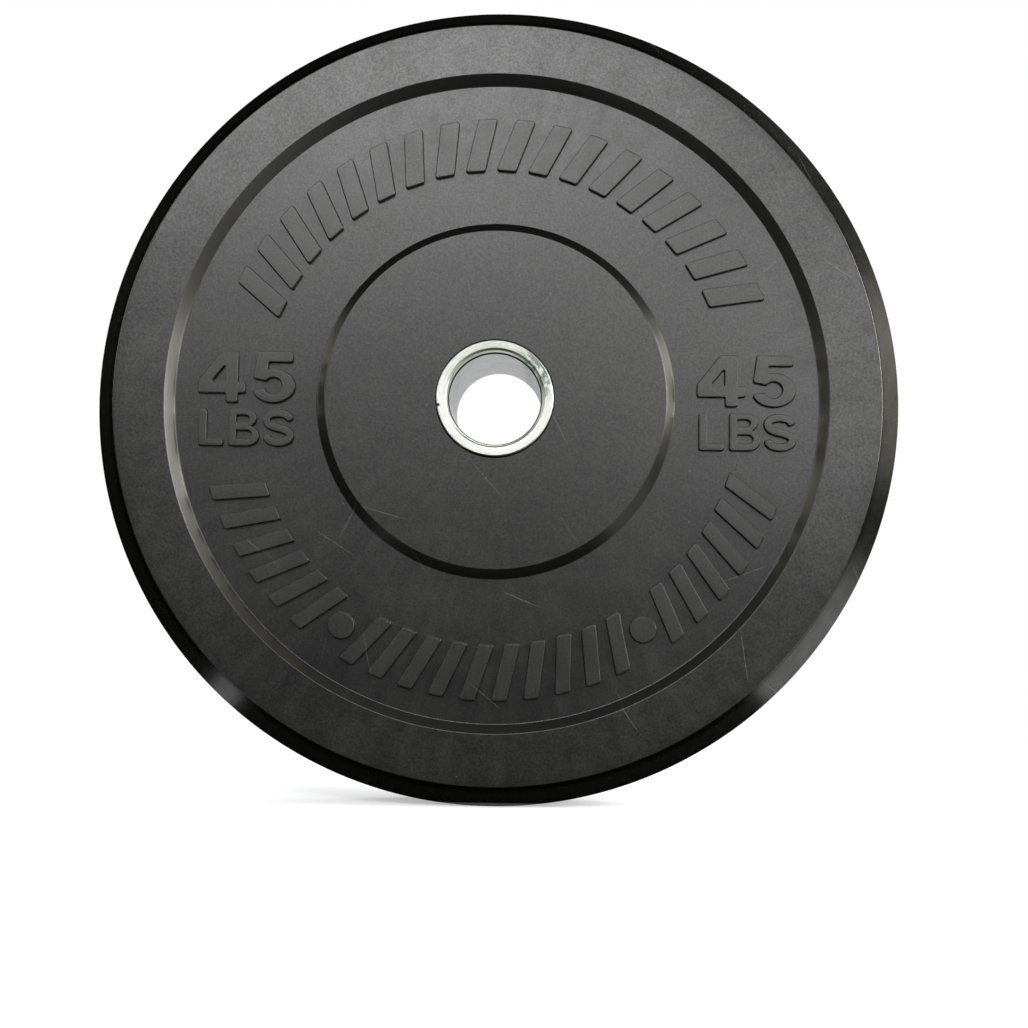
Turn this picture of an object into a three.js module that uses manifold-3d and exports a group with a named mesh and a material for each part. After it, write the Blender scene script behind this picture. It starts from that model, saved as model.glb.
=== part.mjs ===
// A rubber bumper plate for a 50 mm barbell sleeve, standing on its tread.
// Millimetres. +Z is up, the bore runs along Y, the front face looks towards -Y,
// and the origin is the centre of the bore, half way through the plate.

import * as THREE from 'three';
import { mergeVertices } from 'three/addons/utils/BufferGeometryUtils.js';
import Module from 'manifold-3d';

const wasm = await Module();
wasm.setup();

// Driving dimensions of the whole plate.
const plateDiameter = 449.6; // across the tread
const plateThickness = 73.7; // from rim face to rim face
const boreDiameter = 51; // passes a 50 mm bar sleeve
const fitGap = 0.3; // clearance between two pieces that touch

// The moulded rubber.
const edgeChamferDepth = 13; // along the axis
const edgeChamferReach = 11.6; // across the rim face
const recessDiameter = 369; // at the rim face
const recessDepth = 7.05; // from the rim face down to the web
const recessDraft = 4.4; // how far the recess wall leans in
const recessLipRound = 2.6;
const hubDiameter = 190; // across the raised hub's flat
const hubDrop = 1.75; // from the rim face down to the hub's flat
const hubDraft = 4.9; // how far the hub's side leans out
const hubEdgeRound = 1.1;
const footRound = 1.2; // where a wall meets the web
const treadEdgeRound = 0.8;

// The raised bars and dots, moulded on the web of both faces in an upper and a lower arc.
const reliefRise = 2.6; // above the web
const reliefDraft = 0.5; // how far a side leans in
const reliefRoot = 1; // how far it reaches into the web
const barLean = 9; // sideways shift of a bar's outer end
const upperBarWidth = 11;
const upperBarHeight = 30;
const upperBarPitch = 19.5;
const upperBarMargin = 20; // from the web's outer edge
const upperBarCount = 18;
const lowerBarWidth = 8.5;
const lowerBarHeight = 31;
const lowerBarPitch = 16;
const lowerBarMargin = 13;
const lowerBarCount = 24; // with the dots
const dotDiameter = 14.8;
const dotFromMiddle = 6; // the dots take the sixth place to each side of the middle

// The turned steel sleeve.
const sleeveWall = 7;
const sleeveProud = 0.75; // how far each end stands past the rim face
const leadInDepth = 5.6; // bevel at each mouth, along the axis
const leadInReach = 2.6; // the same bevel, across the end face
const sleeveEdgeBreak = 0.5;

// The buried flange and its welds.
const flangeDiameter = 150;
const flangeThickness = 6;
const flangeHookWidth = 5; // the rim of the flange is bent to the rear
const flangeHookHeight = 6;
const flangeHoleDiameter = 18;
const flangeHoleCount = 8;
const weldLeg = 4;

// How finely the round shapes are cut.
const turnSegments = 96; // a multiple of four, so that flats lie at the top, bottom and sides
const holeSegments = 24;
const roundSteps = 2;
const flatsToCorners = 1 / Math.cos(Math.PI / turnSegments);

const rubber = new THREE.MeshStandardMaterial({ color: 0x2b2b2c, roughness: 0.62, metalness: 0 });
const zincPlate = new THREE.MeshStandardMaterial({ color: 0xc9ccc6, roughness: 0.3, metalness: 1 });
const bareSteel = new THREE.MeshStandardMaterial({ color: 0x7f8284, roughness: 0.45, metalness: 1 });
const weldMetal = new THREE.MeshStandardMaterial({ color: 0x66666a, roughness: 0.55, metalness: 1 });

// A corner of a section: distance from the axis, place along the axis, and the radius it is rounded by.
function corner(reach, along, round = 0) {
  return { at: new THREE.Vector2(reach, along), round };
}

// Replaces each rounded corner of a closed section by a short arc that touches both of its sides.
function softened(corners) {
  const points = [];
  corners.forEach(({ at, round }, index) => {
    if (round === 0) {
      points.push(at);
      return;
    }
    const before = corners.at(index - 1).at.clone().sub(at).normalize();
    const after = corners[(index + 1) % corners.length].at.clone().sub(at).normalize();
    const halfAngle = Math.acos(before.dot(after)) / 2;
    const middle = before.clone().add(after).normalize().multiplyScalar(round / Math.sin(halfAngle));
    const centre = at.clone().add(middle);
    const start = before.multiplyScalar(round / Math.tan(halfAngle)).add(at).sub(centre);
    const end = after.multiplyScalar(round / Math.tan(halfAngle)).add(at).sub(centre);
    const sweep = Math.atan2(start.cross(end), start.dot(end));
    for (let step = 0; step <= roundSteps; step += 1) {
      const turned = start.clone().rotateAround(new THREE.Vector2(), (sweep * step) / roundSteps);
      points.push(turned.add(centre));
    }
  });
  return points;
}

// Mirrors the rear half of a section to the front, so that the section runs counter-clockwise.
function bothFaces(rearCorners) {
  const front = rearCorners.map(({ at, round }) => corner(at.x, -at.y, round));
  return [...front, ...rearCorners.toReversed()];
}

// Joins the vertices that a geometry repeats, and makes it a solid that can be cut and joined.
function solidOf(geometry) {
  geometry.deleteAttribute('normal');
  geometry.deleteAttribute('uv');
  const welded = mergeVertices(geometry);
  const mesh = new wasm.Mesh({
    numProp: 3,
    vertProperties: new Float32Array(welded.attributes.position.array),
    triVerts: new Uint32Array(welded.index.array),
  });
  return new wasm.Manifold(mesh);
}

// A section turned round the bore's axis. The named radii are those of the flats.
function turned(corners) {
  const section = softened(corners).map(({ x, y }) => new THREE.Vector2(x * flatsToCorners, y));
  section.push(section[0].clone());
  return solidOf(new THREE.LatheGeometry(section, turnSegments, Math.PI / turnSegments));
}

function meshOf(name, solid, material) {
  const { vertProperties, triVerts } = solid.getMesh();
  const geometry = new THREE.BufferGeometry();
  geometry.setAttribute('position', new THREE.BufferAttribute(new Float32Array(vertProperties), 3));
  geometry.setIndex(new THREE.BufferAttribute(new Uint32Array(triVerts), 1));
  geometry.computeVertexNormals();
  const mesh = new THREE.Mesh(geometry, material);
  mesh.name = name;
  return mesh;
}

// Places that the pieces share, measured from the origin.
const rimHalf = plateThickness / 2;
const treadHalf = rimHalf - edgeChamferDepth;
const webHalf = rimHalf - recessDepth;
const hubHalf = rimHalf - hubDrop;
const sleeveHalf = rimHalf + sleeveProud;
const treadRadius = plateDiameter / 2;
const recessRadius = recessDiameter / 2;
const webRadius = recessRadius - recessDraft;
const hubRadius = hubDiameter / 2;
const boreRadius = boreDiameter / 2;
const sleeveRadius = boreRadius + sleeveWall;
const sleeveSeat = sleeveRadius + fitGap;
const flangeRadius = flangeDiameter / 2;
const flangeHalf = flangeThickness / 2;
const hookRadius = flangeRadius - flangeHookWidth;
const flangeHoleReach = (sleeveRadius + weldLeg + hookRadius) / 2;

// Steel sleeve: flat end faces, a bevelled lead-in at each mouth and a broken outer edge.
function hubSleeve() {
  return turned(bothFaces([
    corner(boreRadius, sleeveHalf - leadInDepth),
    corner(boreRadius + leadInReach, sleeveHalf),
    corner(sleeveRadius - sleeveEdgeBreak, sleeveHalf),
    corner(sleeveRadius, sleeveHalf - sleeveEdgeBreak),
  ]));
}

// A flat ring round the sleeve, its outer edge bent to the rear, grown on every side by what is spare.
function flangeBlank(spare) {
  return turned([
    corner(sleeveSeat - spare, -flangeHalf - spare),
    corner(flangeRadius + spare, -flangeHalf - spare),
    corner(flangeRadius + spare, flangeHalf + flangeHookHeight + spare),
    corner(hookRadius - spare, flangeHalf + flangeHookHeight + spare),
    corner(hookRadius - spare, flangeHalf + spare),
    corner(sleeveSeat - spare, flangeHalf + spare),
  ]);
}

// One round bar along the axis for each hole of the flange, as the cutter or as the rubber in the hole.
function flangeBars(diameter) {
  const bars = [];
  for (let index = 0; index < flangeHoleCount; index += 1) {
    const bar = new THREE.CylinderGeometry(diameter / 2, diameter / 2, plateThickness / 2, holeSegments);
    bar.translate(flangeHoleReach, 0, 0);
    bar.rotateY((2 * Math.PI * index) / flangeHoleCount);
    bars.push(solidOf(bar));
  }
  return bars.reduce((all, bar) => all.add(bar));
}

function anchorFlange() {
  return flangeBlank(0).subtract(flangeBars(flangeHoleDiameter));
}

// Fillet weld between sleeve and flange. The side is 1 at the rear and -1 at the front.
function flangeWeld(side, spare) {
  const foot = flangeHalf + fitGap - spare;
  const leg = weldLeg + spare * (2 + Math.SQRT2);
  const section = [
    corner(sleeveSeat - spare, side * foot),
    corner(sleeveSeat - spare + leg, side * foot),
    corner(sleeveSeat - spare, side * (foot + leg)),
  ];
  return turned(side > 0 ? section : section.toReversed());
}

// A raised block on the plane z = 0, with drafted sides and its root below that plane.
function raised(outline) {
  const block = new THREE.ExtrudeGeometry(outline, {
    depth: reliefRoot,
    curveSegments: holeSegments / 2,
    bevelThickness: reliefRise,
    bevelSize: reliefDraft,
    bevelOffset: -reliefDraft,
    bevelSegments: 1,
  });
  return block.translate(0, 0, -reliefRoot);
}

// Outline of a bar, its outer end at the top and shifted to the right.
function barOutline(width, height) {
  return new THREE.Shape([
    new THREE.Vector2(-(width + barLean) / 2, -height / 2),
    new THREE.Vector2((width - barLean) / 2, -height / 2),
    new THREE.Vector2((width + barLean) / 2, height / 2),
    new THREE.Vector2((barLean - width) / 2, height / 2),
  ]);
}

// Stands outlines on the web in an arc round the bore. The middle of the arc lies at the given angle from
// the top, and the same arc is moulded on the rear face.
function reliefArc(outlines, reach, pitch, middle) {
  return outlines.flatMap((outline, index) => {
    const place = index - (outlines.length - 1) / 2;
    const block = raised(outline).rotateX(Math.PI / 2).translate(0, -webHalf, reach);
    block.rotateY(middle + (place * pitch) / reach);
    return [solidOf(block.clone()), solidOf(block.rotateZ(Math.PI))];
  });
}

// The bars and dots of both faces.
function webRelief() {
  const upperBar = barOutline(upperBarWidth, upperBarHeight);
  const lowerBar = barOutline(lowerBarWidth, lowerBarHeight);
  const dot = new THREE.Shape().absarc(0, 0, dotDiameter / 2, 0, 2 * Math.PI);
  const upper = new Array(upperBarCount).fill(upperBar);
  const lower = new Array(lowerBarCount).fill(lowerBar);
  lower[lowerBarCount / 2 - dotFromMiddle] = dot;
  lower[lowerBarCount / 2 + dotFromMiddle - 1] = dot;
  const blocks = [
    ...reliefArc(upper, webRadius - upperBarMargin - upperBarHeight / 2, upperBarPitch, 0),
    ...reliefArc(lower, webRadius - lowerBarMargin - lowerBarHeight / 2, lowerBarPitch, Math.PI),
  ];
  return blocks.reduce((all, block) => all.add(block));
}

// The moulded rubber: rim, chamfers, sunk web, raised hub and relief, cast round the steel.
function rubberDisc() {
  const disc = turned(bothFaces([
    corner(sleeveSeat, hubHalf),
    corner(hubRadius, hubHalf, hubEdgeRound),
    corner(hubRadius + hubDraft, webHalf, footRound),
    corner(webRadius, webHalf, footRound),
    corner(recessRadius, rimHalf, recessLipRound),
    corner(treadRadius - edgeChamferReach, rimHalf),
    corner(treadRadius, treadHalf, treadEdgeRound),
  ]));
  const rubberInHoles = flangeBars(flangeHoleDiameter - 2 * fitGap);
  return disc
    .add(webRelief())
    .subtract(flangeBlank(fitGap).subtract(rubberInHoles))
    .subtract(flangeWeld(1, fitGap))
    .subtract(flangeWeld(-1, fitGap));
}

const plate = new THREE.Group();
plate.name = 'bumper_plate';
plate.add(
  meshOf('rubber_disc', rubberDisc(), rubber),
  meshOf('hub_sleeve', hubSleeve(), zincPlate),
  meshOf('anchor_flange', anchorFlange(), bareSteel),
  meshOf('flange_weld_front', flangeWeld(-1, 0), weldMetal),
  meshOf('flange_weld_rear', flangeWeld(1, 0), weldMetal),
);

export default plate;
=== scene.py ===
import math

import bmesh
import bpy
from mathutils import Matrix, Vector
from mathutils.geometry import interpolate_bezier


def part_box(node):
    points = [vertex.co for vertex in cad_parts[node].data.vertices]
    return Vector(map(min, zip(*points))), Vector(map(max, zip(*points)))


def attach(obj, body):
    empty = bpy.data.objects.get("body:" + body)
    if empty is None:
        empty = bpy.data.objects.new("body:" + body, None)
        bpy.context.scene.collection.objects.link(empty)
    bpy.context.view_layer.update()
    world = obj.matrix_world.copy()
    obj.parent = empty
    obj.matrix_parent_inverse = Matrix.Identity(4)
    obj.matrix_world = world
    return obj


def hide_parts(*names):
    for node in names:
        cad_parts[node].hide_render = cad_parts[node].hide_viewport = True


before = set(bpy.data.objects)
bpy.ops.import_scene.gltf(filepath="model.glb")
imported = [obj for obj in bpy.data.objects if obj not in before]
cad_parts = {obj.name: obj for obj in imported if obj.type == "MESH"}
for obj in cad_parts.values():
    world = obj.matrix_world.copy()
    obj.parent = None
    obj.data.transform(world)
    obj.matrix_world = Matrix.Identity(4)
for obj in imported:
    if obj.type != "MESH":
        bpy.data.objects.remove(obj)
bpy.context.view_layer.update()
print("frame loaded")

mm = 0.001
quarter = math.pi / 2
fullTurn = 2 * math.pi

# What the pieces take from the CAD frame.
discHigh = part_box("rubber_disc")[1]
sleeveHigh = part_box("hub_sleeve")[1]
flangeLow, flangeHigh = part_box("anchor_flange")
treadRadius = discHigh.z
rimHalf = discHigh.y
sleeveRadius = sleeveHigh.x
sleeveHalf = sleeveHigh.y
flangeRadius = flangeHigh.x
flangeHalf = -flangeLow.y
flangeHookEnd = flangeHigh.y
floorHeight = -treadRadius

fitGap = 0.3 * mm  # clearance between two pieces that touch
turnSteps = 288  # round the bore
sleeveSeat = sleeveRadius + fitGap

disc = {
    "chamferDepth": 13 * mm,  # along the bore
    "chamferReach": 11.6 * mm,  # across the rim face
    "crownReach": 5 * mm,  # the rim falls away a little next to the chamfer
    "crownDrop": 0.1 * mm,
    "crownRound": 40 * mm,
    "recessRadius": 184.5 * mm,
    "recessDepth": 7.05 * mm,
    "recessDraft": 4.5 * mm,
    "hubRadius": 95 * mm,
    "hubDrop": 1.75 * mm,
    "hubDraft": 5 * mm,
    "lipRound": 0.8 * mm,
    "hubRound": 0.8 * mm,
    "footRound": 1 * mm,
    "chamferRound": 1.2 * mm,
    "seatRound": 0.7 * mm,  # round the sleeve
    "trimLineWidth": 0.5 * mm,  # where the mould halves meet, on the tread
    "trimLineDepth": 0.25 * mm,
    "trimLineFromChamfer": 3.2 * mm,
}
treadHalf = rimHalf - disc["chamferDepth"]
webHalf = rimHalf - disc["recessDepth"]
hubHalf = rimHalf - disc["hubDrop"]
webRadius = disc["recessRadius"] - disc["recessDraft"]
hubFoot = disc["hubRadius"] + disc["hubDraft"]
rimOuter = treadRadius - disc["chamferReach"]


# Draws a closed line of corners in one plane: along X and Y, or along X and Z when upright. The third number
# of a corner is the radius that it is rounded by.
def addLine(bm, corners, upright=False, steps=4):
    places = [Vector((x, 0, y)) if upright else Vector((x, y, 0)) for x, y, _ in corners]
    points = [bm.verts.new(place) for place in places]
    for pair in zip(points, points[1:] + points[:1]):
        bm.edges.new(pair)
    reaches = []
    for index, (_, _, radius) in enumerate(corners):
        back = places[index - 1] - places[index]
        ahead = places[(index + 1) % len(places)] - places[index]
        reaches.append(radius / math.tan(back.angle(ahead) / 2))
    for point, reach in zip(points, reaches):
        if reach:
            bmesh.ops.bevel(bm, geom=[point], offset=reach, offset_type="OFFSET", segments=steps,
                            profile=0.5, affect="VERTICES", material=-1)


# Turns a section, drawn along X and Y, round the bore.
def turnSection(bm, corners):
    addLine(bm, corners)
    bmesh.ops.spin(bm, geom=bm.verts[:] + bm.edges[:], cent=(0, 0, 0), axis=(0, 1, 0), dvec=(0, 0, 0),
                   angle=fullTurn, steps=turnSteps, use_merge=True, use_duplicate=False)
    bmesh.ops.remove_doubles(bm, verts=bm.verts[:], dist=0.001 * mm)
    bmesh.ops.recalc_face_normals(bm, faces=bm.faces[:])


# The rear half of a section, from the bore outwards, with its mirror image at the front.
def bothFaces(rearCorners):
    front = [(x, -y, reach) for x, y, reach in rearCorners]
    return front, rearCorners[::-1]


def makePiece(name, bm, node, material):
    mesh = bpy.data.meshes.new(name)
    bm.to_mesh(mesh)
    bm.free()
    mesh.materials.append(material)
    mesh.shade_smooth()
    piece = bpy.data.objects.new(name, mesh)
    bpy.context.scene.collection.objects.link(piece)
    piece.modifiers.new("even flats", "WEIGHTED_NORMAL").keep_sharp = True
    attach(piece, "root")
    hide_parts(node)
    print(name, len(mesh.polygons), "faces")


# Adds a node to a tree and fills its inputs, each with a value or with another node's output.
def addNode(tree, kind, inputs={}, **settings):
    node = tree.nodes.new("ShaderNode" + kind)
    for name, value in settings.items():
        setattr(node, name, value)
    for socket, value in inputs.items():
        if isinstance(value, bpy.types.NodeSocket):
            tree.links.new(value, node.inputs[socket])
        else:
            node.inputs[socket].default_value = value
    return node


def reckon(tree, operation, *values):
    return addNode(tree, "Math", dict(enumerate(values)), operation=operation).outputs[0]


def reckonVector(tree, operation, *values):
    return addNode(tree, "VectorMath", dict(enumerate(values)), operation=operation).outputs["Vector"]


def measure(tree, operation, *vectors):
    return addNode(tree, "VectorMath", dict(enumerate(vectors)), operation=operation).outputs["Value"]


# A smooth step from one value to another while the input goes from low to high.
def fade(tree, value, low, high, start=0, end=1):
    inputs = {"Value": value, "From Min": low, "From Max": high, "To Min": start, "To Max": end}
    return addNode(tree, "MapRange", inputs, interpolation_type="SMOOTHSTEP").outputs["Result"]


def blend(tree, share, first, second):
    return addNode(tree, "Mix", {0: share, 2: first, 3: second}).outputs[0]


def blendColours(tree, share, first, second):
    return addNode(tree, "Mix", {0: share, 6: first, 7: second}, data_type="RGBA").outputs[2]


def noise(tree, place, detail=2, roughness=0.5):
    inputs = {"Vector": place, "Scale": 1, "Detail": detail, "Roughness": roughness}
    return addNode(tree, "TexNoise", inputs).outputs["Fac"]


# A shader node group with named inputs and outputs.
def startGroup(name, inputs, outputs):
    tree = bpy.data.node_groups.new(name, "ShaderNodeTree")
    for direction, sockets in (("INPUT", inputs), ("OUTPUT", outputs)):
        for socket, kind in sockets.items():
            tree.interface.new_socket(socket, in_out=direction, socket_type="NodeSocket" + kind)
    return tree, tree.nodes.new("NodeGroupInput").outputs, tree.nodes.new("NodeGroupOutput").inputs


def useGroup(tree, group, **inputs):
    return addNode(tree, "Group", inputs, node_tree=group).outputs


# Distance from the bore's axis and from the plate's middle.
def makeBorePlace():
    tree, given, result = startGroup(
        "place round the bore", {"Place": "Vector"}, {"Radius": "Float", "Depth": "Float"})
    flat = reckonVector(tree, "MULTIPLY", given["Place"], (1, 0, 1))
    height = addNode(tree, "SeparateXYZ", {"Vector": given["Place"]}).outputs["Y"]
    tree.links.new(measure(tree, "LENGTH", flat), result["Radius"])
    tree.links.new(reckon(tree, "ABSOLUTE", height), result["Depth"])
    return tree


# Fine rings round the bore, as a lathe leaves them, that come and go on their way round. With a coarse pitch
# and a fast drift they turn into streaks that run outwards.
def makeTurningMarks():
    tree, given, result = startGroup(
        "turning marks", {"Place": "Vector", "Pitch": "Float", "Drift": "Float"}, {"Height": "Float"})
    place = useGroup(tree, borePlace, Place=given["Place"])
    across = reckon(tree, "DIVIDE", reckon(tree, "ADD", place["Radius"], place["Depth"]), given["Pitch"])
    outwards = reckonVector(tree, "NORMALIZE", reckonVector(tree, "MULTIPLY", given["Place"], (1, 0, 1)))
    around = addNode(tree, "VectorMath", {0: outwards, 3: given["Drift"]}, operation="SCALE")
    ringPlace = addNode(tree, "CombineXYZ", {"Y": across}).outputs["Vector"]
    tree.links.new(noise(tree, reckonVector(tree, "ADD", around.outputs["Vector"], ringPlace), 3, 0.6),
                   result["Height"])
    return tree


# Cloudy patches of the given size.
def makePatches():
    tree, given, result = startGroup(
        "patches", {"Place": "Vector", "Size": "Float", "Contrast": "Float"}, {"Mask": "Float"})
    scaled = addNode(tree, "VectorMath", {0: given["Place"], 3: reckon(tree, "DIVIDE", 1, given["Size"])},
                     operation="SCALE").outputs["Vector"]
    around = reckon(tree, "SUBTRACT", noise(tree, scaled, 4, 0.55), 0.5)
    spread = reckon(tree, "MULTIPLY", around, given["Contrast"])
    tree.links.new(addNode(tree, "Clamp", {0: reckon(tree, "ADD", spread, 0.5)}).outputs[0], result["Mask"])
    return tree


# Short straight hairlines in all directions, one to a cell of the given size, that thin out at their ends.
def makeHairlines():
    sockets = {"Place": "Vector", "Size": "Float", "Width": "Float", "Share": "Float"}
    tree, given, result = startGroup("hairlines", sockets, {"Mask": "Float"})
    density = reckon(tree, "DIVIDE", 1, given["Size"])
    cells = addNode(tree, "TexVoronoi", {"Vector": given["Place"], "Scale": density}).outputs
    away = reckonVector(tree, "SUBTRACT", given["Place"], cells["Position"])
    turn = reckonVector(tree, "SUBTRACT", cells["Color"], (0.5, 0.5, 0.5))
    across = reckonVector(tree, "NORMALIZE", reckonVector(tree, "MULTIPLY", turn, (1, 0.3, 1)))
    aside = reckon(tree, "ABSOLUTE", measure(tree, "DOT_PRODUCT", away, across))
    reach = reckon(tree, "MULTIPLY", measure(tree, "LENGTH", away), density)
    width = reckon(tree, "MULTIPLY", given["Width"], fade(tree, reach, 0.15, 0.45, 1, 0))
    chance = addNode(tree, "TexWhiteNoise", {"Vector": cells["Position"]}).outputs["Value"]
    line = reckon(tree, "LESS_THAN", aside, width)
    tree.links.new(reckon(tree, "MULTIPLY", line, reckon(tree, "LESS_THAN", chance, given["Share"])),
                   result["Mask"])
    return tree


# Scattered round specks, such as dust or pits. Radius and share are parts of a cell of the given size.
def makeSpecks():
    sockets = {"Place": "Vector", "Size": "Float", "Radius": "Float", "Share": "Float"}
    tree, given, result = startGroup("specks", sockets, {"Mask": "Float"})
    density = reckon(tree, "DIVIDE", 1, given["Size"])
    cells = addNode(tree, "TexVoronoi", {"Vector": given["Place"], "Scale": density}).outputs
    chance = addNode(tree, "SeparateColor", {0: cells["Color"]}).outputs[0]
    chosen = reckon(tree, "LESS_THAN", chance, given["Share"])
    near = reckon(tree, "LESS_THAN", cells["Distance"], given["Radius"])
    tree.links.new(reckon(tree, "MULTIPLY", chosen, near), result["Mask"])
    return tree


borePlace = makeBorePlace()
turningMarks = makeTurningMarks()
patches = makePatches()
hairlines = makeHairlines()
specks = makeSpecks()


# A material, its Principled shader and the place on the piece. Plain values go on the shader's own sockets.
def startMaterial(name, **values):
    material = bpy.data.materials.new(name)
    material.use_nodes = True
    tree = material.node_tree
    shader = tree.nodes["Principled BSDF"]
    for socket, value in values.items():
        shader.inputs[socket.replace("_", " ")].default_value = value
    return material, tree, shader, tree.nodes.new("ShaderNodeTexCoord").outputs["Object"]


# Sums heights in metres and feeds them to the shader as a bump.
def addBump(tree, shader, *heights):
    total = 0
    for height, share in heights:
        total = reckon(tree, "MULTIPLY_ADD", height, share, total)
    bump = addNode(tree, "Bump", {"Strength": 1, "Distance": 1, "Height": total})
    tree.links.new(bump.outputs["Normal"], shader.inputs["Normal"])


rubber = {
    "colour": (0.0078, 0.0078, 0.0081, 1),
    "bloomColour": (0.0175, 0.018, 0.0165, 1),  # pale haze that rubber sweats out
    "markColour": (0.019, 0.0195, 0.0175, 1),
    "markColourShare": 0.45,
    "chamferColour": (0.0035, 0.0037, 0.003, 1),
    "chamferEdgeColour": (0.0015, 0.0013, 0.0011, 1),
    "recessWallColour": (0.0092, 0.009, 0.0078, 1),
    # on the hub wall, and as painted shadow on the rubber lip right next to the sleeve
    "hubWallAndSeatShadeColour": (0.0022, 0.0022, 0.002, 1),
    "dustColour": (0.16, 0.16, 0.15, 1),
    "dustShare": 0.8,  # of the colour of a speck
    "hairlineShare": 0.4,  # of the colour of a hairline
    "roughness": 0.27,
    "bloomRoughness": 0.36,
    "chamferRoughness": 0.22,
    "chamferPeelRoughness": 0.3,
    "recessWallRoughness": 0.34,
    "hubWallRoughness": 0.3,
    "shine": 0.5,  # the shader's specular level
    "chamferLowShine": 0.34,
    "chamferHighShine": 0.51,
    "recessWallShine": 1,
    "hubWallShine": 0.7,
    "creaseShine": 0.15,  # between the rim and the chamfer
    "borderSoftness": 0.4 * mm,  # between the plate's faces and its walls
    "bloomSize": 70 * mm,
    "mottleSize": 9 * mm,
    "grainSize": 1.2 * mm,
    "grainHeight": 0.012 * mm,
    "grainShade": 0.42,  # how much darker the pores between the grain are
    "peelSize": 5 * mm,
    "peelHeight": 0.012 * mm,
    "wavesSize": 45 * mm,
    "wavesHeight": 0.07 * mm,
    "mouldPitch": 0.8 * mm,  # rings that the turned mould leaves
    "mouldHeight": 0.002 * mm,
    "flowPitch": 90 * mm,  # streaks that run outwards, where the rubber flowed
    "flowDrift": 34,
    "rimStreakPitch": 35 * mm,
    "rimStreakDrift": 11,
    "rimGrain": 0.13,  # this and the next three make the rim's shade change more than that of the rest
    "rimMottle": 0.1,
    "rimWaves": 0.16,
    "rimStreaks": 0.42,
    "hairlineSize": 40 * mm,
    "hairlineWidth": 0.12 * mm,
    "dustSize": 6 * mm,
    "pitSize": 11 * mm,
    "scratchDepth": 0.01 * mm,
}


# One between two values, with borders of the given softness.
def bandMask(tree, value, low, high, soft):
    return reckon(tree, "MULTIPLY", fade(tree, value, low - soft, low + soft),
                  fade(tree, value, high - soft, high + soft, 1, 0))


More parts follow.
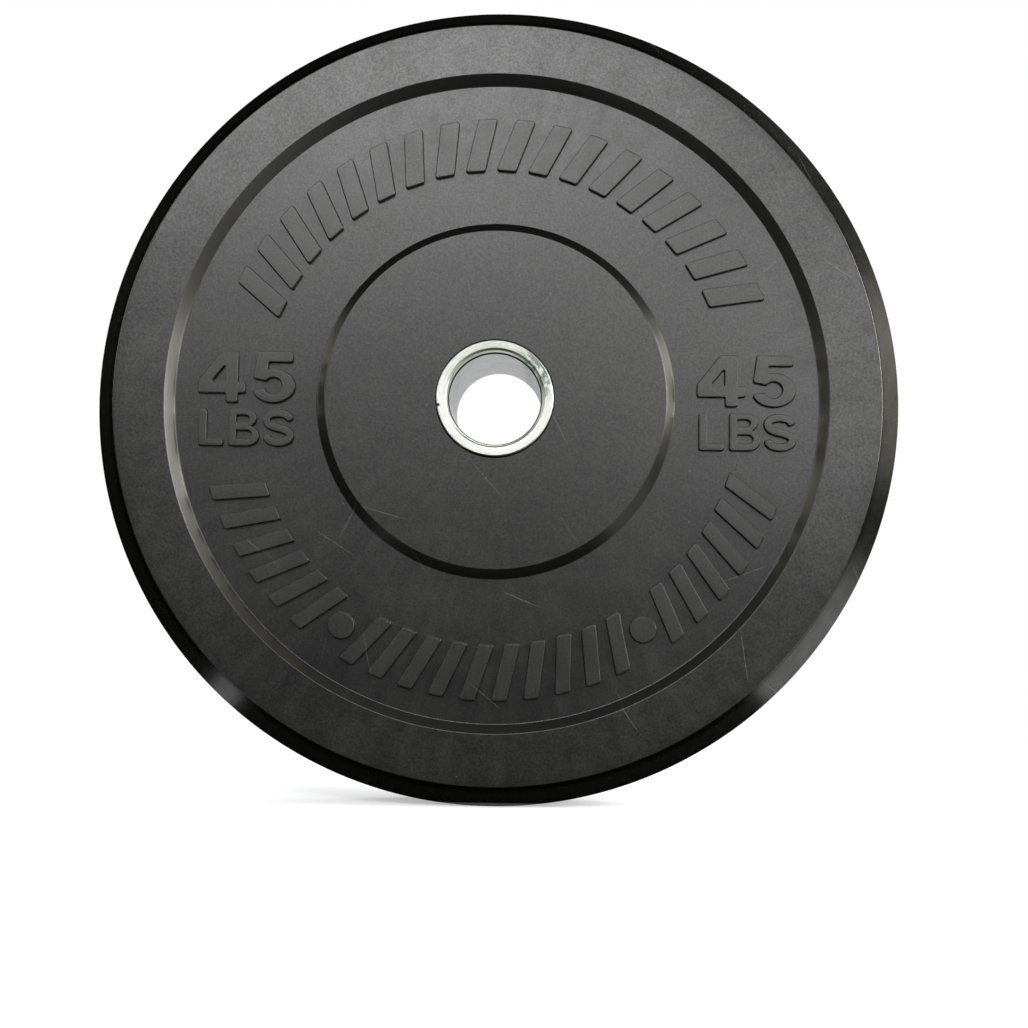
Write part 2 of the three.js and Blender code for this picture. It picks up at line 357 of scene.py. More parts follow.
def rubberMaterial():
    material, tree, shader, place = startMaterial("satin black rubber")
    bloom = useGroup(tree, patches, Place=place, Size=rubber["bloomSize"], Contrast=2)["Mask"]
    mottle = useGroup(tree, patches, Place=place, Size=rubber["mottleSize"], Contrast=1.7)["Mask"]
    grain = useGroup(tree, patches, Place=place, Size=rubber["grainSize"], Contrast=2.4)["Mask"]
    peel = useGroup(tree, patches, Place=place, Size=rubber["peelSize"], Contrast=1.0)["Mask"]
    waves = useGroup(tree, patches, Place=place, Size=rubber["wavesSize"], Contrast=1.0)["Mask"]
    rings = useGroup(tree, turningMarks, Place=place, Pitch=rubber["mouldPitch"], Drift=3)["Height"]
    flow = useGroup(tree, turningMarks, Place=place, Pitch=rubber["flowPitch"],
                    Drift=rubber["flowDrift"])["Height"]
    scratches = useGroup(tree, hairlines, Place=place, Size=rubber["hairlineSize"],
                         Width=rubber["hairlineWidth"], Share=0.4)["Mask"]
    dust = useGroup(tree, specks, Place=place, Size=rubber["dustSize"], Radius=0.045, Share=0.06)["Mask"]
    pits = useGroup(tree, specks, Place=place, Size=rubber["pitSize"], Radius=0.05, Share=0.25)["Mask"]
    haze = reckon(tree, "MULTIPLY", bloom, reckon(tree, "MULTIPLY_ADD", mottle, 0.6, 0.2))
    haze = reckon(tree, "ADD", haze, fade(tree, flow, 0.35, 0.7, 0, 0.2))

    around = useGroup(tree, borePlace, Place=place)
    radius, depth = around["Radius"], around["Depth"]
    soft = rubber["borderSoftness"]
    tread = reckon(tree, "MULTIPLY", fade(tree, radius, treadRadius - 0.6 * mm, treadRadius - 0.1 * mm),
                   fade(tree, depth, treadHalf - 0.9 * mm, treadHalf - 0.1 * mm, 1, 0))
    outside = fade(tree, radius, rimOuter - soft, rimOuter + soft)
    chamfer = reckon(tree, "MULTIPLY", outside, reckon(tree, "SUBTRACT", 1, tread))
    grain = blend(tree, reckon(tree, "MULTIPLY", chamfer, 0.6), grain, 0.5)
    shade = reckon(tree, "MULTIPLY_ADD", grain, rubber["grainShade"], 1 - rubber["grainShade"] / 2)
    rim = bandMask(tree, radius, disc["recessRadius"] + soft, rimOuter - soft, soft)
    streaks = useGroup(tree, turningMarks, Place=place, Pitch=rubber["rimStreakPitch"],
                       Drift=rubber["rimStreakDrift"])["Height"]
    wear = 0
    for marks, strength in ((grain, rubber["rimGrain"]), (mottle, rubber["rimMottle"]),
                            (waves, rubber["rimWaves"]), (streaks, rubber["rimStreaks"])):
        wear = reckon(tree, "MULTIPLY_ADD", reckon(tree, "SUBTRACT", marks, 0.5), strength, wear)
    shade = reckon(tree, "MULTIPLY_ADD", rim, wear, shade)
    chamferMiddle = bandMask(tree, radius, rimOuter + 3 * mm, treadRadius - 1.2 * mm, 1.2 * mm)
    recessWall = bandMask(tree, radius, webRadius, disc["recessRadius"], soft)
    # The hub wall, and the rubber lip right next to the sleeve, which is painted darker as the shadow in the
    # gap round the sleeve.
    hubWallAndSeatShade = reckon(tree, "ADD", bandMask(tree, radius, disc["hubRadius"], hubFoot, soft),
                     fade(tree, radius, sleeveSeat + 0.3 * mm, sleeveSeat + 0.8 * mm, 1, 0))
    markTop = reckon(tree, "MULTIPLY", fade(tree, depth, webHalf + 1.4 * mm, webHalf + 1.9 * mm),
                     bandMask(tree, radius, hubFoot, webRadius, soft))

    colour = blendColours(tree, haze, rubber["colour"], rubber["bloomColour"])
    worn = reckon(tree, "MULTIPLY", markTop, rubber["markColourShare"])
    colour = blendColours(tree, worn, colour, rubber["markColour"])
    colour = blendColours(tree, recessWall, colour, rubber["recessWallColour"])
    colour = blendColours(tree, hubWallAndSeatShade, colour, rubber["hubWallAndSeatShadeColour"])
    chamferColour = blendColours(tree, chamferMiddle, rubber["chamferEdgeColour"], rubber["chamferColour"])
    colour = blendColours(tree, chamfer, colour, chamferColour)
    for marks, share in ((scratches, rubber["hairlineShare"]), (dust, rubber["dustShare"])):
        colour = blendColours(tree, reckon(tree, "MULTIPLY", marks, share), colour, rubber["dustColour"])
    colour = addNode(tree, "VectorMath", {0: colour, 3: shade}, operation="SCALE").outputs["Vector"]
    tree.links.new(colour, shader.inputs["Base Color"])

    crease = bandMask(tree, radius, rimOuter + 0.5 * mm, rimOuter + 1.1 * mm, 0.2 * mm)
    cloudy = fade(tree, mottle, 0, 1, rubber["chamferLowShine"], rubber["chamferHighShine"])
    shine = blend(tree, chamfer, reckon(tree, "MULTIPLY", shade, rubber["shine"]), cloudy)
    shine = blend(tree, recessWall, shine, rubber["recessWallShine"])
    shine = blend(tree, hubWallAndSeatShade, shine, rubber["hubWallShine"])
    shine = blend(tree, crease, shine, rubber["creaseShine"])
    tree.links.new(shine, shader.inputs["Specular IOR Level"])

    matt = reckon(tree, "MULTIPLY_ADD", mottle, 0.3, haze)
    matt = reckon(tree, "MULTIPLY_ADD", reckon(tree, "MAXIMUM", markTop, tread), 0.25, matt)
    rough = fade(tree, matt, 0, 1.2, rubber["roughness"], rubber["bloomRoughness"])
    rough = blend(tree, recessWall, rough, rubber["recessWallRoughness"])
    rough = blend(tree, hubWallAndSeatShade, rough, rubber["hubWallRoughness"])
    peeled = fade(tree, peel, 0, 1, rubber["chamferRoughness"], rubber["chamferPeelRoughness"])
    rough = blend(tree, chamfer, rough, peeled)
    tree.links.new(rough, shader.inputs["Roughness"])
    addBump(tree, shader, (grain, rubber["grainHeight"]), (peel, rubber["peelHeight"]),
            (waves, rubber["wavesHeight"]), (rings, rubber["mouldHeight"]),
            (scratches, -rubber["scratchDepth"]), (pits, -2 * rubber["scratchDepth"]))
    return material


sleeve = {
    "wall": 7 * mm,
    "leadInDepth": 5.6 * mm,
    "leadInReach": 1.5 * mm,
    "leadInRound": 1.5 * mm,
    "stepReach": 0.4 * mm,  # at the foot of the lead-in
    "stepRound": 0.1 * mm,
    "edgeBreak": 0.5 * mm,
    "cornerRound": 0.2 * mm,
}

zinc = {
    "colour": (0.63, 0.635, 0.605, 1),
    "filmColour": (0.36, 0.385, 0.345, 1),  # thin passivation film
    # the bore and its film patches are painted darker than the end ring and its film, as shade inside the
    # bore
    "borePaintedShadeColour": (0.43, 0.422, 0.435, 1),
    "boreFilmInPaintedShadeColour": (0.31, 0.34, 0.32, 1),
    # the lead-in is painted lighter and greener than the end ring, as a painted sheen
    "bevelPaintedSheenColour": (0.72, 0.80, 0.69, 1),
    "stainColour": (0.09, 0.13, 0.115, 1),
    # painted shadow of the step at the foot of the lead-in, and the colour of the nick
    "nickAndStepShadeColour": (0.02, 0.024, 0.02, 1),
    "roughness": 0.38,
    "stainRoughness": 0.55,
    "stainSize": 5 * mm,
    "stainPlace": (25 * mm, 0, 15 * mm),
    "stainReach": 19 * mm,
    "filmSize": 11 * mm,
    "filmPlace": (6 * mm, 0, 29 * mm),
    "filmReach": 55 * mm,
    "stepShadeReach": 0.3 * mm,  # the painted shade reaches this far outwards, from the step at the foot of the lead-in
    "nickPlace": (-31.4 * mm, -sleeveHalf, -4.2 * mm),
    "nickInner": 0.6 * mm,  # dark as far as here, and gone at the outer radius
    "nickOuter": 1.3 * mm,
    "streakPitch": 0.7 * mm,
    "turningPitch": 0.35 * mm,
    "turningHeight": 0.003 * mm,
    "hairlineSize": 7 * mm,
    "hairlineWidth": 0.05 * mm,
}


def zincMaterial():
    material, tree, shader, place = startMaterial("zinc plated steel", Metallic=1)
    film = useGroup(tree, patches, Place=place, Size=zinc["filmSize"], Contrast=3)["Mask"]
    stain = useGroup(tree, patches, Place=place, Size=zinc["stainSize"], Contrast=4)["Mask"]
    streaks = useGroup(tree, turningMarks, Place=place, Pitch=zinc["streakPitch"], Drift=5)["Height"]
    rings = useGroup(tree, turningMarks, Place=place, Pitch=zinc["turningPitch"], Drift=2)["Height"]
    scratches = useGroup(tree, hairlines, Place=place, Size=zinc["hairlineSize"],
                         Width=zinc["hairlineWidth"], Share=0.6)["Mask"]
    radius = useGroup(tree, borePlace, Place=place)["Radius"]
    boreRadius = sleeveRadius - sleeve["wall"]
    bore = fade(tree, radius, boreRadius + 0.15 * mm, boreRadius + 0.35 * mm, 1, 0)
    # A dark ring painted at the foot of the lead-in, as the shadow of the small step there.
    stepShadeEnd = boreRadius + sleeve["stepReach"] + zinc["stepShadeReach"]
    stepShade = bandMask(tree, radius, boreRadius + 0.12 * mm, stepShadeEnd, 0.1 * mm)
    bevel = fade(tree, radius, boreRadius + 1 * mm, boreRadius + 2.4 * mm, 1, 0)

    flat = reckonVector(tree, "MULTIPLY", place, (1, 0, 1))
    fromStain = measure(tree, "DISTANCE", flat, zinc["stainPlace"])
    worn = fade(tree, fromStain, 0.3 * zinc["stainReach"], zinc["stainReach"], 0.85, 0.1)
    blotches = reckon(tree, "MULTIPLY", fade(tree, stain, 0.1, 0.5), fade(tree, streaks, 0.35, 0.6, 0.4, 1))
    dark = reckon(tree, "MULTIPLY", worn, blotches)
    dark = reckon(tree, "MULTIPLY", dark, fade(tree, bore, 0, 1, 1, 0.3))

    fromFilm = measure(tree, "DISTANCE", flat, zinc["filmPlace"])
    filmy = reckon(tree, "ADD", fade(tree, fromFilm, zinc["stainReach"], zinc["filmReach"], 0.75, 0),
                   fade(tree, streaks, 0.3, 0.7, 0, 0.4))
    colour = blendColours(tree, filmy, zinc["colour"], zinc["filmColour"])
    # The lead-in takes a painted sheen: a lighter, greener colour than the end ring.
    colour = blendColours(tree, bevel, colour, zinc["bevelPaintedSheenColour"])
    # Inside the bore the colour is painted darker, as shade, and its film patches are a real tint.
    borePaintedShadeColour = blendColours(tree, reckon(tree, "MULTIPLY", film, stain), zinc["borePaintedShadeColour"],
                              zinc["boreFilmInPaintedShadeColour"])
    colour = blendColours(tree, bore, colour, borePaintedShadeColour)
    colour = blendColours(tree, dark, colour, zinc["stainColour"])
    fromNick = measure(tree, "DISTANCE", place, zinc["nickPlace"])
    nick = fade(tree, fromNick, zinc["nickInner"], zinc["nickOuter"], 1, 0)
    colour = blendColours(tree, reckon(tree, "MAXIMUM", stepShade, nick), colour, zinc["nickAndStepShadeColour"])
    tree.links.new(colour, shader.inputs["Base Color"])

    matt = reckon(tree, "MULTIPLY_ADD", streaks, 0.5, reckon(tree, "ADD", dark, stepShade))
    tree.links.new(fade(tree, matt, 0, 1.2, zinc["roughness"], zinc["stainRoughness"]),
                   shader.inputs["Roughness"])
    addBump(tree, shader, (rings, zinc["turningHeight"]), (streaks, 2 * zinc["turningHeight"]),
            (scratches, -zinc["turningHeight"]))
    return material


plainSteel = {
    "colour": (0.36, 0.36, 0.37, 1),
    "scaleColour": (0.13, 0.125, 0.125, 1),  # mill scale
    "rustColour": (0.17, 0.075, 0.035, 1),
    "roughness": 0.38,
    "scaleRoughness": 0.62,
    "scaleSize": 9 * mm,
    "scaleHeight": 0.03 * mm,
    "rustSize": 16 * mm,
    "hairlineSize": 12 * mm,
    "hairlineWidth": 0.08 * mm,
}


def plainSteelMaterial():
    material, tree, shader, place = startMaterial("plain steel", Metallic=1)
    scale = useGroup(tree, patches, Place=place, Size=plainSteel["scaleSize"], Contrast=4)["Mask"]
    rust = useGroup(tree, patches, Place=place, Size=plainSteel["rustSize"], Contrast=5)["Mask"]
    rusty = fade(tree, rust, 0.7, 1)
    scratches = useGroup(tree, hairlines, Place=place, Size=plainSteel["hairlineSize"],
                         Width=plainSteel["hairlineWidth"], Share=0.6)["Mask"]
    colour = blendColours(tree, scale, plainSteel["colour"], plainSteel["scaleColour"])
    colour = blendColours(tree, rusty, colour, plainSteel["rustColour"])
    tree.links.new(colour, shader.inputs["Base Color"])
    tree.links.new(reckon(tree, "SUBTRACT", 1, rusty), shader.inputs["Metallic"])
    tree.links.new(fade(tree, scale, 0, 1, plainSteel["roughness"], plainSteel["scaleRoughness"]),
                   shader.inputs["Roughness"])
    addBump(tree, shader, (scale, plainSteel["scaleHeight"]), (scratches, -0.3 * plainSteel["scaleHeight"]))
    return material


print("rubber disc")
anchor = {
    "hookWidth": 5 * mm,  # thickness of the flange's bent rim
    "weldLeg": 4 * mm,
}
hookRadius = flangeRadius - anchor["hookWidth"]

relief = {
    "rise": 2.6 * mm,
    "draft": 0.25 * mm,
    "footRound": 0.15 * mm,
    "topRound": 0.4 * mm,
    "roundSteps": 3,
    "cornerRound": 1.6 * mm,  # seen from the front
    "innerCornerRound": 0.5 * mm,
}

bars = {
    "lean": 9 * mm,  # sideways shift of a bar's outer end
    "grown": 0.3 * mm,  # the foot of a bar or dot spreads this far beyond its size
    "dotRadius": 7.4 * mm,
    "dotSteps": 48,
    "dotFromMiddle": 6,  # a dot takes the place of the sixth bar on each side
}
upperArc = {"width": 11 * mm, "height": 30 * mm, "pitch": 19.5 * mm, "margin": 20 * mm, "count": 18}
lowerArc = {"width": 8.5 * mm, "height": 31 * mm, "pitch": 16 * mm, "margin": 13 * mm, "count": 24}

weightMark = {
    "reach": 139.5 * mm,  # from the bore to the middle of the mark
    "width": 55.4 * mm,
    "numberFoot": -3.3 * mm,
    "numberHeight": 29.6 * mm,
    "wordFoot": -27.8 * mm,
    "wordHeight": 21.4 * mm,
    "stroke": 5 * mm,  # of the letter S
    "arcSteps": 14,
}


# The cavity that the buried flange and its welds leave in the rubber, from the rear to the front.
def flangeCavity():
    weldReach = anchor["weldLeg"] + fitGap * (1 + math.sqrt(2))
    flat = flangeHalf + fitGap
    hookEnd = flangeHookEnd + fitGap
    return [
        (sleeveSeat, flangeHalf + weldReach, 0),
        (sleeveSeat + weldReach - fitGap, flat, 0),
        (hookRadius - fitGap, flat, 0),
        (hookRadius - fitGap, hookEnd, 0),
        (flangeRadius + fitGap, hookEnd, 0),
        (flangeRadius + fitGap, -flat, 0),
        (sleeveSeat + weldReach - fitGap, -flat, 0),
        (sleeveSeat, -flangeHalf - weldReach, 0),
    ]


# A fine groove round the tread, near its front edge.
def trimLine():
    middle = -treadHalf + disc["trimLineFromChamfer"]
    half = disc["trimLineWidth"] / 2
    return [
        (treadRadius, middle - half, 0),
        (treadRadius - disc["trimLineDepth"], middle, 0),
        (treadRadius, middle + half, 0),
    ]


# Steps from the foot of a raised mark to its top, each as (inwards, up).
def reliefSteps():
    count = relief["roundSteps"]
    angles = [quarter * step / count for step in range(count + 1)]
    pairs = list(zip(angles, angles[1:]))
    foot = [(math.sin(b) - math.sin(a), math.cos(a) - math.cos(b)) for a, b in pairs]
    top = [(math.cos(a) - math.cos(b), math.sin(b) - math.sin(a)) for a, b in pairs]
    wall = relief["rise"] - relief["footRound"] - relief["topRound"]
    return ([(x * relief["footRound"], y * relief["footRound"]) for x, y in foot]
            + [(relief["draft"], wall)]
            + [(x * relief["topRound"], y * relief["topRound"]) for x, y in top])


# One raised mark, drawn upright at the origin and facing -Y. The first line is its outline, and the others
# are the openings inside it.
def raisedMark(name, *lines):
    bm = bmesh.new()
    for line in lines:
        addLine(bm, line, upright=True, steps=3)
    bmesh.ops.triangle_fill(bm, edges=bm.edges[:], use_beauty=True, use_dissolve=False, normal=(0, -1, 0))
    top = bm.faces[:]
    for inwards, up in reliefSteps():
        bmesh.ops.inset_region(bm, faces=top, use_boundary=True, use_even_offset=True,
                               thickness=inwards, depth=up)
    mesh = bpy.data.meshes.new(name)
    bm.to_mesh(mesh)
    bm.free()
    return mesh


# Outline of a leaning bar, its outer end shifted to the right.
def barLine(width, height):
    lean = bars["lean"] / 2
    half = width / 2 + bars["grown"]
    top = height / 2 + bars["grown"]
    rounding = relief["cornerRound"]
    return [(-half - lean, -top, rounding), (half - lean, -top, rounding),
            (half + lean, top, rounding), (lean - half, top, rounding)]


def arcLine(middleX, middleY, radiusX, radiusY, start, end, steps):
    angles = [math.radians(start + (end - start) * step / steps) for step in range(steps + 1)]
    return [(middleX + radiusX * math.cos(a), middleY + radiusY * math.sin(a), 0) for a in angles]


def dotLine():
    radius = bars["dotRadius"] + bars["grown"]
    return arcLine(0, 0, radius, radius, 0, 360, bars["dotSteps"])[:-1]


# Places of the marks along one arc, as matrices for the front face. The middle is measured from the top.
def arcPlaces(arc, middle):
    reach = webRadius - arc["margin"] - arc["height"] / 2
    for index in range(arc["count"]):
        place = index - (arc["count"] - 1) / 2
        yield (Matrix.Rotation(middle + place * arc["pitch"] / reach, 4, "Y")
               @ Matrix.Translation((0, -webHalf, reach)))


# Scales lines that are drawn in shares of a figure's width and height, and moves them to their place. A
# corner of 1 is rounded fully, and one of 2 lies inside the figure's bend.
def figure(left, foot, width, height, *lines):
    rounding = {0: 0, 1: relief["cornerRound"], 2: relief["innerCornerRound"]}
    return [[(left + x * width, foot + y * height, rounding[kind]) for x, y, kind in line]
            for line in lines]


def figureFour():
    outline = [(0, 0.18, 1), (0.572, 0.18, 2), (0.572, 0, 1), (0.845, 0, 1), (0.845, 0.18, 2), (1, 0.18, 1),
               (1, 0.42, 1), (0.845, 0.42, 2), (0.845, 1, 1), (0.478, 1, 1), (0, 0.43, 1)]
    opening = [(0.305, 0.42, 2), (0.56, 0.42, 2), (0.56, 0.715, 2)]
    return [outline, opening]


def figureFive():
    steps = weightMark["arcSteps"]
    bowl = arcLine(0.5, 0.335, 0.5, 0.335, 102, -145, 2 * steps)
    hollow = arcLine(0.5, 0.335, 0.185, 0.15, -165, 148, steps)
    return [[(0.13, 1, 1), (0.04, 0.465, 1), *hollow[::-1], (0.01, 0.25, 1), *bowl[::-1],
             (0.4, 0.775, 2), (0.94, 0.775, 1), (0.94, 1, 1)]]


def letterL():
    return [[(0, 0, 1), (1, 0, 1), (1, 0.21, 1), (0.36, 0.21, 2), (0.36, 1, 1), (0, 1, 1)]]


def letterB():
    steps = weightMark["arcSteps"]
    lower = arcLine(0.615, 0.283, 0.385, 0.283, -90, 62, steps)
    upper = arcLine(0.58, 0.75, 0.335, 0.25, -57, 90, steps)
    lowerOpening = arcLine(0.59, 0.314, 0.136, 0.1, -90, 90, steps)
    upperOpening = arcLine(0.53, 0.733, 0.12, 0.078, -90, 90, steps)
    return [[(0, 0, 1), *lower, *upper, (0, 1, 1)],
            [(0.275, 0.214, 2), *lowerOpening, (0.275, 0.414, 2)],
            [(0.275, 0.655, 2), *upperOpening, (0.275, 0.811, 2)]]


# The letter is a band of even width along a smooth middle line.
def letterS(left, foot, width, height):
    knots = [((0.86, 0.68), (0.86, 0.56), (0.86, 0.81)), ((0.505, 0.885), (0.71, 0.885), (0.29, 0.885)),
             ((0.14, 0.705), (0.14, 0.82), (0.14, 0.575)), ((0.505, 0.5), (0.33, 0.535), (0.68, 0.465)),
             ((0.865, 0.295), (0.865, 0.425), (0.865, 0.18)), ((0.495, 0.115), (0.7, 0.115), (0.28, 0.115)),
             ((0.13, 0.325), (0.13, 0.2), (0.13, 0.4))]
    middle = []
    for (start, _, leaving), (end, arriving, _) in zip(knots, knots[1:]):
        shares = [Vector((x * width, y * height, 0)) for x, y in (start, leaving, arriving, end)]
        middle += interpolate_bezier(*shares, weightMark["arcSteps"] // 2)[bool(middle):]
    middle = [middle[0], *middle[2:-2], middle[-1]]
    ahead = middle[1:] + [2 * middle[-1] - middle[-2]]
    behind = [2 * middle[0] - middle[1]] + middle[:-1]
    sides = [Vector((before.y - after.y, after.x - before.x, 0)).normalized()
             for before, after in zip(behind, ahead)]
    reach = weightMark["stroke"] / 2
    edges = [[at + way * side * reach for at, side in zip(middle, sides)] for way in (1, -1)]
    line = edges[0] + edges[1][::-1]
    ends = (0, len(middle) - 1, len(middle), len(line) - 1)
    return [[(left + p.x, foot + p.y, relief["cornerRound"] if index in ends else 0)
             for index, p in enumerate(line)]]


# Left side, foot, width and height of a mark, whose left side and width are shares of the whole width.
def markSpace(left, share, row):
    width = weightMark["width"]
    return left * width - width / 2, weightMark[row + "Foot"], share * width, weightMark[row + "Height"]


def weightMarks():
    return [
        raisedMark("four", *figure(*markSpace(0, 0.494, "number"), *figureFour())),
        raisedMark("five", *figure(*markSpace(0.541, 0.459, "number"), *figureFive())),
        raisedMark("letter L", *figure(*markSpace(0.02, 0.26, "word"), *letterL())),
        raisedMark("letter B", *figure(*markSpace(0.325, 0.32, "word"), *letterB())),
        raisedMark("letter S", *letterS(*markSpace(0.665, 0.335, "word"))),
    ]


# Sets a mark on the front face, and the same mark on the rear.
def moulded(bm, mark, place):
    for turn in (0, math.pi):
        copy = mark.copy()
        copy.transform(Matrix.Rotation(turn, 4, "Z") @ place)
        bm.from_mesh(copy)
        bpy.data.meshes.remove(copy)


def addRelief(bm):
    upperBar = raisedMark("upper bar", barLine(upperArc["width"], upperArc["height"]))
    lowerBar = raisedMark("lower bar", barLine(lowerArc["width"], lowerArc["height"]))
    dot = raisedMark("dot", dotLine())
    for place in arcPlaces(upperArc, 0):
        moulded(bm, upperBar, place)
    half = lowerArc["count"] // 2
    dotPlaces = (half - bars["dotFromMiddle"], half + bars["dotFromMiddle"] - 1)
    for index, place in enumerate(arcPlaces(lowerArc, math.pi)):
        moulded(bm, dot if index in dotPlaces else lowerBar, place)
    for mark in weightMarks():
        for side in (-1, 1):
            moulded(bm, mark, Matrix.Translation((side * weightMark["reach"], -webHalf, 0)))


# Faces or edges that lie flat on the web of the given side.
def onWeb(parts, side):
    return [p for p in parts if all(abs(v.co.y - side * webHalf) < 0.001 * mm for v in p.verts)]


def makeRubberDisc():
    front, rear = bothFaces([
        (sleeveSeat, hubHalf, disc["seatRound"]),
        (disc["hubRadius"], hubHalf, disc["hubRound"]),
        (hubFoot, webHalf, disc["footRound"]),
        (webRadius, webHalf, disc["footRound"]),
        (disc["recessRadius"], rimHalf, disc["lipRound"]),
        (rimOuter - disc["crownReach"], rimHalf, disc["crownRound"]),
        (rimOuter, rimHalf - disc["crownDrop"], disc["chamferRound"]),
        (treadRadius, treadHalf, disc["chamferRound"]),
    ])
    bm = bmesh.new()
    turnSection(bm, front + trimLine() + rear + flangeCavity())
    for side in (-1, 1):
        bmesh.ops.delete(bm, geom=onWeb(bm.faces, side), context="FACES")
    addRelief(bm)
    for side in (-1, 1):
        rims = [e for e in onWeb(bm.edges, side) if e.is_boundary]
        bmesh.ops.triangle_fill(bm, edges=rims, use_beauty=True, use_dissolve=False, normal=(0, side, 0))
    print("open edges", sum(not e.is_manifold for e in bm.edges))
    makePiece("moulded_rubber_disc", bm, "rubber_disc", rubberMaterial())


makeRubberDisc()

print("hub sleeve")


def makeHubSleeve():
    boreRadius = sleeveRadius - sleeve["wall"]
    rounding = sleeve["cornerRound"]
    front, rear = bothFaces([
        (boreRadius, sleeveHalf - sleeve["leadInDepth"], rounding),
        (boreRadius + sleeve["stepReach"], sleeveHalf - sleeve["leadInDepth"], sleeve["stepRound"]),
        (boreRadius + sleeve["leadInReach"], sleeveHalf, sleeve["leadInRound"]),
        (sleeveRadius - sleeve["edgeBreak"], sleeveHalf, rounding),
        (sleeveRadius, sleeveHalf - sleeve["edgeBreak"], rounding),
    ])
    bm = bmesh.new()
    turnSection(bm, front + rear)
    makePiece("turned_hub_sleeve", bm, "hub_sleeve", zincMaterial())


makeHubSleeve()

print("flange and welds")
for node in ("anchor_flange", "flange_weld_front", "flange_weld_rear"):
    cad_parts[node].data.materials.clear()
    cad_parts[node].data.materials.append(plainSteelMaterial())

print("studio")
studio = {
    "floorReach": 3,
    "floorColour": (0.80, 0.81, 0.86, 1),
    "floorRoughness": 0.9,
    "floorGlow": 0.42,  # lifts the floor to the white of the background
    "floorFadeStart": 0.34,  # from here outwards the floor runs out into the white background
    "floorFadeEnd": 0.85,
    "ambient": 0.35,  # strength of the world for all but what shows the background
    "hoodRadius": 4,
    "hoodMouth": 3,  # the hood is open behind the plate
    "cardHeight": 2 * mm,
    "underCard": (-0.2, 0.212, -0.28, 0.3),  # left, right, front and back
    "leftCard": (-1.2, -0.236, -0.28, 0.6),
    "frontCard": (-1.6, 1.6, -3, -0.28),
}


def addStage(name, bm, material):
    mesh = bpy.data.meshes.new(name)
    bm.to_mesh(mesh)
    bm.free()
    mesh.materials.append(material)
    thing = bpy.data.objects.new(name, mesh)
    bpy.context.scene.collection.objects.link(thing)
    return thing


# One for the rays that show the background: the camera's, and those that reflect it or look through it.
def backgroundShown(tree):
    seen = addNode(tree, "LightPath").outputs
    return reckon(tree, "MAXIMUM", seen["Is Camera Ray"],
                  reckon(tree, "MAXIMUM", seen["Is Glossy Ray"], seen["Is Transmission Ray"]))


def makeFloor():
    bm = bmesh.new()
    bmesh.ops.create_grid(bm, x_segments=1, y_segments=1, size=studio["floorReach"])
    bmesh.ops.translate(bm, verts=bm.verts[:], vec=(0, 0, floorHeight))
    material, tree, shader, place = startMaterial("pale floor", Base_Color=studio["floorColour"],
                                                  Roughness=studio["floorRoughness"])
    reach = measure(tree, "LENGTH", reckonVector(tree, "MULTIPLY", place, (1, 1, 0)))
    fading = fade(tree, reach, studio["floorFadeStart"], studio["floorFadeEnd"])
    clear = addNode(tree, "BsdfTransparent").outputs["BSDF"]
    shown = reckon(tree, "MULTIPLY", backgroundShown(tree), studio["floorGlow"])
    glow = addNode(tree, "Emission", {"Strength": shown}).outputs["Emission"]
    pale = addNode(tree, "AddShader", {0: shader.outputs["BSDF"], 1: glow}).outputs["Shader"]
    surface = addNode(tree, "MixShader", {0: fading, 1: pale, 2: clear}).outputs["Shader"]
    tree.links.new(surface, tree.nodes["Material Output"].inputs["Surface"])
    addStage("floor", bm, material)


# Black cards that keep the studio's white out of the sides of the plate, as in the photograph. They are
# outside the picture, so only reflections show them.
def addCard(name, bm):
    card = addStage(name, bm, startMaterial(name, Base_Color=(0, 0, 0, 1), Specular_IOR_Level=0)[0])
    card.visible_camera = card.visible_diffuse = card.visible_shadow = card.visible_transmission = False


def makeCards():
    hood = bmesh.new()
    bmesh.ops.create_uvsphere(hood, u_segments=48, v_segments=24, radius=studio["hoodRadius"])
    bmesh.ops.bisect_plane(hood, geom=hood.verts[:] + hood.edges[:] + hood.faces[:],
                           plane_co=(0, studio["hoodMouth"], 0), plane_no=(0, 1, 0), clear_outer=True)
    addCard("black hood", hood)
    for name in ("underCard", "leftCard", "frontCard"):
        left, right, front, back = studio[name]
        middle = ((left + right) / 2, (front + back) / 2, floorHeight + studio["cardHeight"])
        bm = bmesh.new()
        bmesh.ops.create_grid(bm, x_segments=1, y_segments=1, size=0.5)
        bmesh.ops.scale(bm, verts=bm.verts[:], vec=(right - left, back - front, 1))
        bmesh.ops.translate(bm, verts=bm.verts[:], vec=middle)
        addCard(name, bm)


makeFloor()
makeCards()

# Soft boxes round the plate: azimuth from the front towards the right, and elevation, in degrees.
lampDistance = 3
paleYellow = (1.02, 1, 0.87)
lamps = {
    "key": {"azimuth": -9, "elevation": 26, "width": 1.75, "height": 0.74, "brightness": 9.6},
    "lower key": {"azimuth": -7, "elevation": 12, "width": 1.9, "height": 0.74, "brightness": 1.4},
    "front": {"azimuth": 18, "elevation": 12, "width": 0.93, "height": 0.74, "brightness": 6.4},
    "window": {"azimuth": 76, "elevation": 14, "width": 0.95, "height": 1.9, "brightness": 7.9,
               "colour": paleYellow},
    "window front": {"azimuth": 57, "elevation": 12, "width": 1.0, "height": 1.8, "brightness": 5.3,
                     "colour": paleYellow},
    "window edge": {"azimuth": 85, "elevation": 19, "width": 0.42, "height": 1.9, "brightness": 25,
                    "colour": (1.02, 1, 0.9)},
    "window top": {"azimuth": 107, "elevation": 17, "width": 0.9, "height": 0.45, "brightness": 0.5,
                   "colour": paleYellow},
    "window rear": {"azimuth": 108, "elevation": 11.5, "width": 2.2, "height": 1.5, "brightness": 0.75,
                    "colour": paleYellow},
    "left": {"azimuth": -76, "elevation": 19, "width": 0.95, "height": 1.4, "brightness": 5.5,
             "colour": paleYellow},
    "rear": {"azimuth": 165, "elevation": 32, "width": 2.4, "height": 1.2, "brightness": 3.5},
}


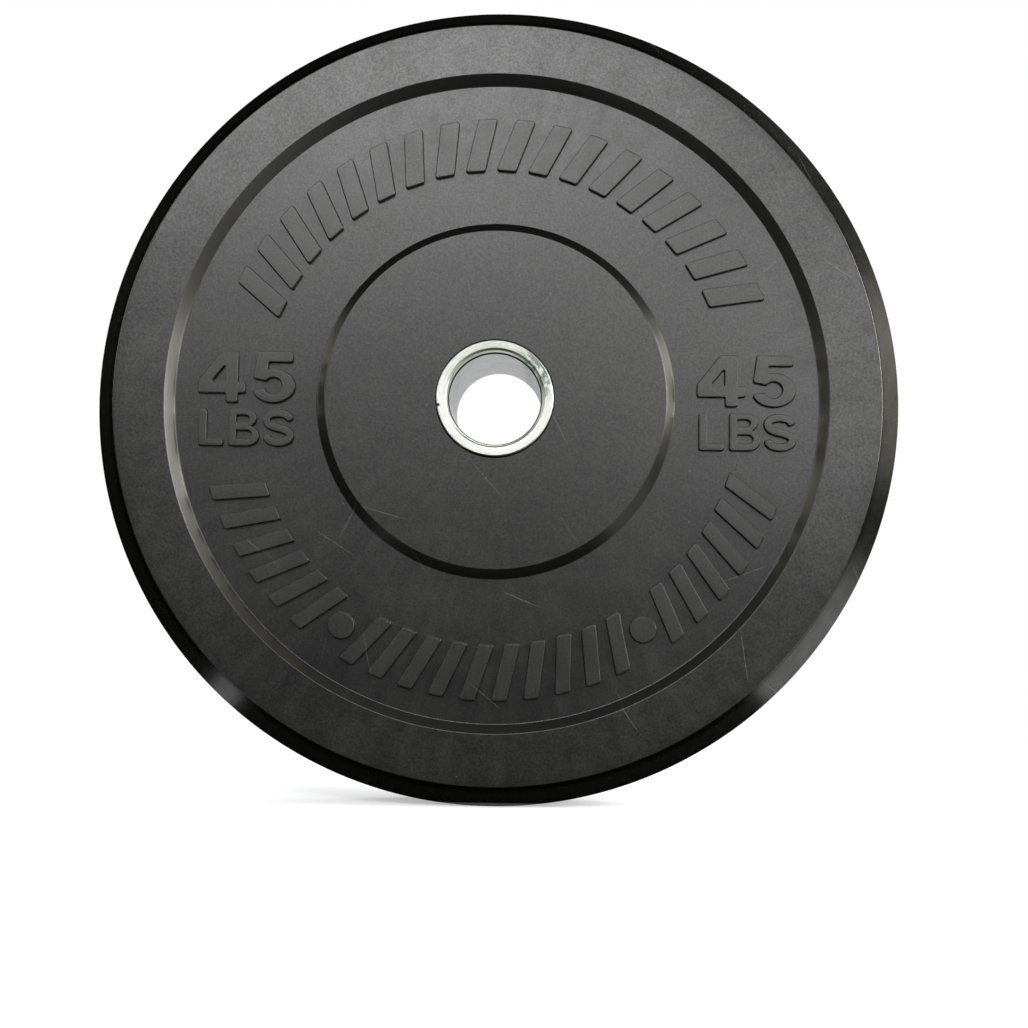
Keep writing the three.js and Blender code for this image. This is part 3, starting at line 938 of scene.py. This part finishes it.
# Brightness is the lamp's radiance, at which 1 is white.
def makeLamp(name, azimuth, elevation, width, height, brightness, colour=(1, 1, 1)):
    lamp = bpy.data.lights.new(name, "AREA")
    lamp.shape = "RECTANGLE"
    lamp.size, lamp.size_y = width, height
    lamp.energy = brightness * math.pi * width * height
    lamp.color = colour
    holder = bpy.data.objects.new(name, lamp)
    turn = (Matrix.Rotation(math.radians(azimuth), 4, "Z")
            @ Matrix.Rotation(math.radians(90 - elevation), 4, "X"))
    holder.matrix_world = turn @ Matrix.Translation((0, 0, lampDistance))
    holder.visible_camera = False
    bpy.context.scene.collection.objects.link(holder)


for name, values in lamps.items():
    makeLamp(name, **values)


# White wherever the background shows, and a plain soft light elsewhere.
def makeWorld():
    world = bpy.data.worlds.new("white studio")
    world.use_nodes = True
    tree = world.node_tree
    strength = reckon(tree, "MULTIPLY_ADD", backgroundShown(tree), 1 - studio["ambient"], studio["ambient"])
    tree.nodes["Background"].inputs["Color"].default_value = (1, 1, 1, 1)
    tree.links.new(strength, tree.nodes["Background"].inputs["Strength"])
    bpy.context.scene.world = world


makeWorld()

print("camera")
viewpoint = {
    "place": (35.0 * mm, -871.6 * mm, -134.2 * mm),  # a little right of the bore and below it
    "heading": 1.67,  # degrees to the left of straight ahead
    "pitch": 4.77,  # degrees upwards
    "roll": -0.8,  # degrees round the bore, because the photographed plate had rolled a little
    "lens": 53.36,  # millimetres, on a sensor 36 mm wide
}


def makeCamera():
    camera = bpy.data.cameras.new("camera")
    camera.sensor_width = 36
    camera.lens = viewpoint["lens"]
    holder = bpy.data.objects.new("camera", camera)
    turn = (Matrix.Rotation(math.radians(viewpoint["heading"]), 4, "Z")
            @ Matrix.Rotation(math.radians(90 + viewpoint["pitch"]), 4, "X"))
    holder.matrix_world = (Matrix.Rotation(math.radians(viewpoint["roll"]), 4, "Y")
                           @ Matrix.Translation(viewpoint["place"]) @ turn)
    bpy.context.scene.collection.objects.link(holder)
    bpy.context.scene.camera = holder


makeCamera()
bpy.context.scene.view_settings.view_transform = "Standard"
